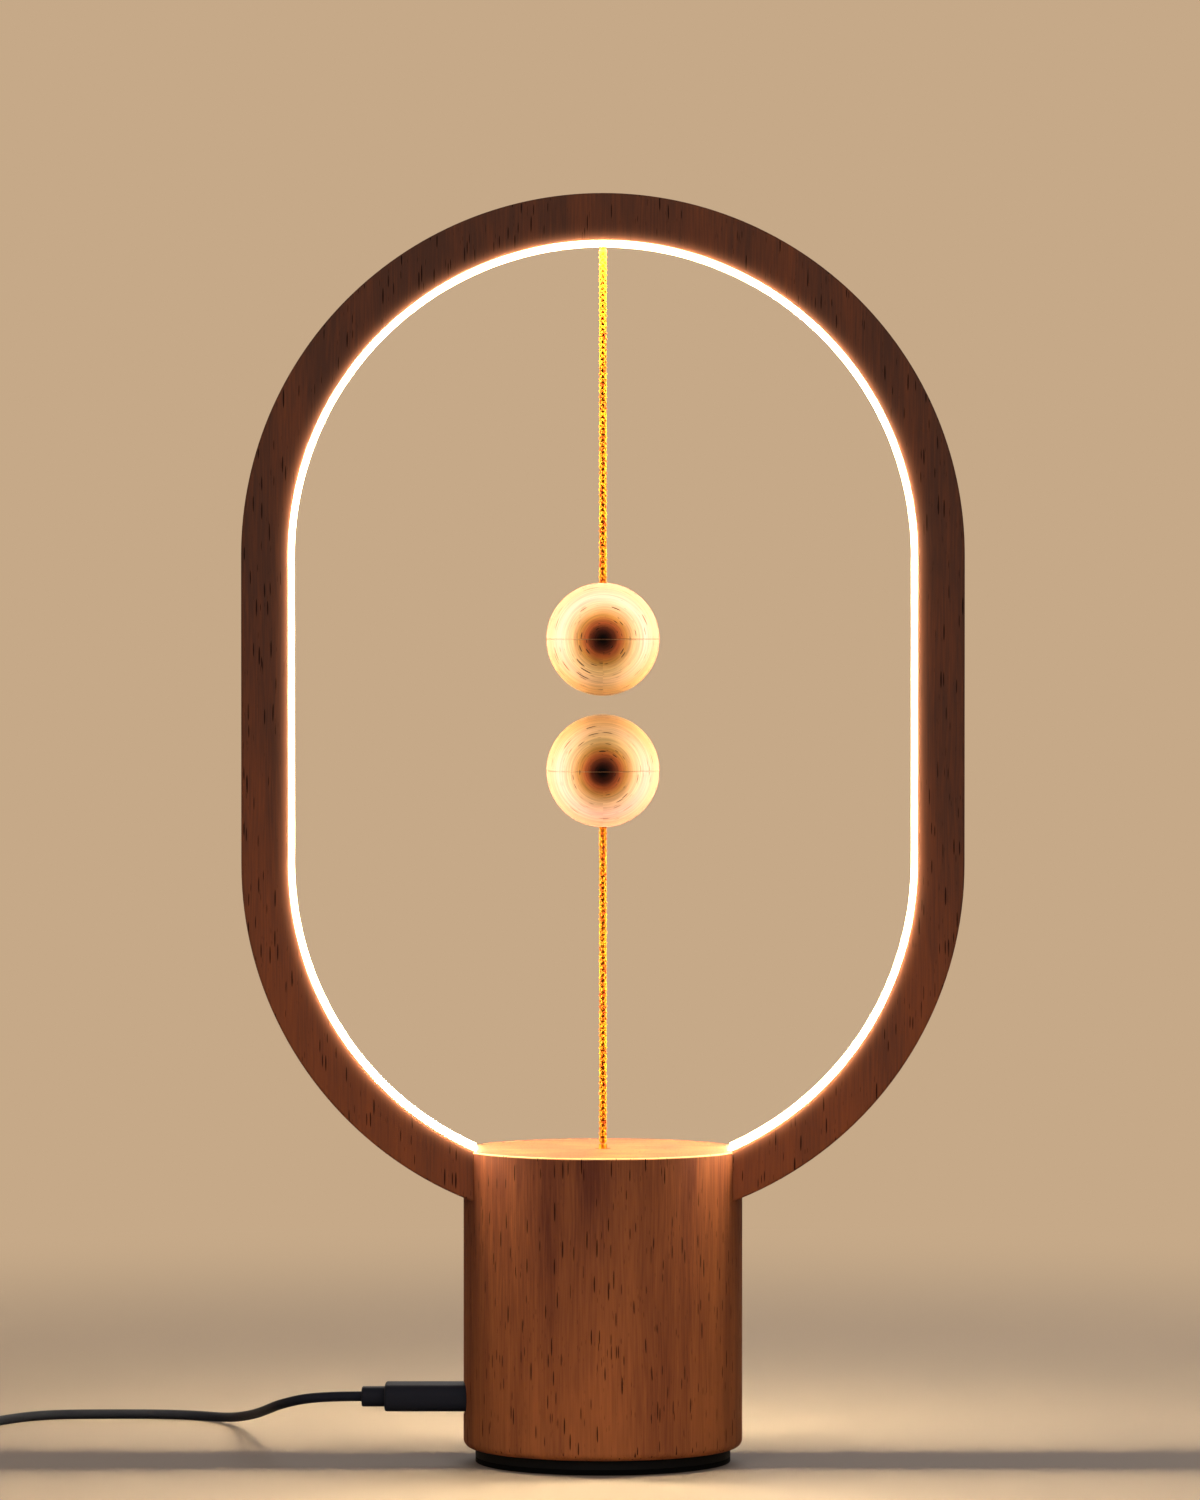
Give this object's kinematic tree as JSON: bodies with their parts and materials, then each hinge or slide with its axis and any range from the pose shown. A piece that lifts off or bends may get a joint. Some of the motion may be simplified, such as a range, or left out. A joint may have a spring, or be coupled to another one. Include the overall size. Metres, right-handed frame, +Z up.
{
  "type": "magnetic balance lamp",
  "caption": "Table lamp: lit wooden ring on a round base, with magnet balls on cords; the lower ball's cord works a pull switch.",
  "frame": {"origin": "centre of the foot's underside, on the table", "axes": "+Z up, +X across the ring, +Y to the back; the power lead leaves on -X"},
  "size_m": [0.2213, 0.1142, 0.229],
  "materials": {
    "ring_wood": "oiled brown wood, fine upright grain",
    "base_wood": "oiled brown wood, fine upright grain",
    "ball_wood": "turned brown wood, satin",
    "dowel_wood": "beech pin",
    "diffuser": "frosted silicone, lit",
    "strip_film": "white flexible circuit film",
    "light_chip": "yellow light chip",
    "cord": "braided yellow cord",
    "ferrule": "plain",
    "magnet": "nickel plated",
    "steel": "zinc plated",
    "ballast_steel": "plain disc",
    "foot_plastic": "black moulded",
    "foot_foam": "black non-slip pad",
    "board": "green circuit board",
    "component": "black moulded parts",
    "bracket_plastic": "grey moulded",
    "plunger_plastic": "white acetal",
    "button_plastic": "red acetal",
    "terminal": "tinned brass",
    "wire": "red wire insulation",
    "lead": "dark grey moulded lead",
    "tie": "black tie"
  },
  "bodies": {
    "root": {"ring_frame": "ring_wood", "base_body": "base_wood", "frame_dowels": "dowel_wood", "led_strip": "strip_film", "led_chips": "light_chip", "light_diffuser": "diffuser", "led_leads": "wire", "upper_cord_stub": "cord", "upper_cord_anchor": "ferrule", "foot_pad": "foot_foam", "bottom_cover": "foot_plastic", "cover_screws": "steel", "ballast_weight": "ballast_steel", "circuit_board": "board", "board_components": "component", "board_screws": "steel", "inlet_shell": "steel", "inlet_tongue": "component", "switch_bracket": "bracket_plastic", "bracket_screws": "steel", "microswitch_body": "component", "microswitch_pins": "steel", "microswitch_terminals": "terminal", "switch_leads": "wire", "lever_pin": "steel"},
    "plunger": {"switch_plunger": "plunger_plastic", "plunger_clip": "steel", "plunger_spring": "steel", "lower_cord_tail": "cord", "lower_cord_knot": "cord"},
    "lever": {"switch_lever": "steel"},
    "button": {"switch_button": "button_plastic"},
    "upper_bend": {"upper_cord_bend": "cord"},
    "upper_pendulum": {"upper_cord": "cord", "upper_cord_knot": "cord", "upper_ball_top": "ball_wood", "upper_ball_bottom": "ball_wood", "upper_magnet": "magnet"},
    "lower_bend": {"lower_cord_bend": "cord"},
    "lower_pendulum": {"lower_cord": "cord", "lower_ball_knot": "cord", "lower_ball_bottom": "ball_wood", "lower_ball_top": "ball_wood", "lower_magnet": "magnet"},
    "power_lead": {"inlet_plug_shell": "steel", "inlet_plug_body": "lead", "inlet_plug_relief": "lead", "power_cable": "lead", "cable_coil": "lead", "coil_tie": "tie", "usb_a_relief": "lead", "usb_a_body": "lead", "usb_a_shell": "steel", "usb_a_insulator": "component"}
  },
  "joints": [
    {"name": "switch_travel", "type": "slide", "parent": "root", "child": "plunger", "axis": [0, 0, 1], "range_m": [-0.0015, 0], "stiffness_N_per_m": 150, "springref_m": 0.004, "deforming": ["plunger_spring"]},
    {"name": "lever_turn", "type": "hinge", "parent": "root", "child": "lever", "pos_m": [-0.0144, 0, 0.033], "axis": [0, 1, 0], "range_deg": [0, 9]},
    {"name": "button_travel", "type": "slide", "parent": "root", "child": "button", "axis": [0, 0, 1], "range_m": [-0.0004, 0]},
    {"name": "upper_swing", "type": "hinge", "parent": "root", "child": "upper_bend", "pos_m": [0, 0, 0.2189], "axis": [0, 1, 0], "range_deg": [-40, 40]},
    {"name": "upper_nod", "type": "hinge", "parent": "upper_bend", "child": "upper_pendulum", "pos_m": [0, 0, 0.2189], "axis": [1, 0, 0], "range_deg": [-60, 60]},
    {"name": "lower_swing", "type": "hinge", "parent": "plunger", "child": "lower_bend", "pos_m": [0, 0, 0.0582], "axis": [0, 1, 0], "range_deg": [-40, 40], "stiffness_Nm_per_rad": 0.05},
    {"name": "lower_nod", "type": "hinge", "parent": "lower_bend", "child": "lower_pendulum", "pos_m": [0, 0, 0.0582], "axis": [1, 0, 0], "range_deg": [-40, 40], "stiffness_Nm_per_rad": 0.05},
    {"name": "plug_pull", "type": "slide", "parent": "root", "child": "power_lead", "axis": [-1, 0, 0], "range_m": [0, 0.008]}
  ],
  "couplings": [
    {"joint": "lever_turn", "follows": "switch_travel", "rad_per_m": -97},
    {"joint": "button_travel", "follows": "switch_travel", "ratio": 0.25}
  ]
}
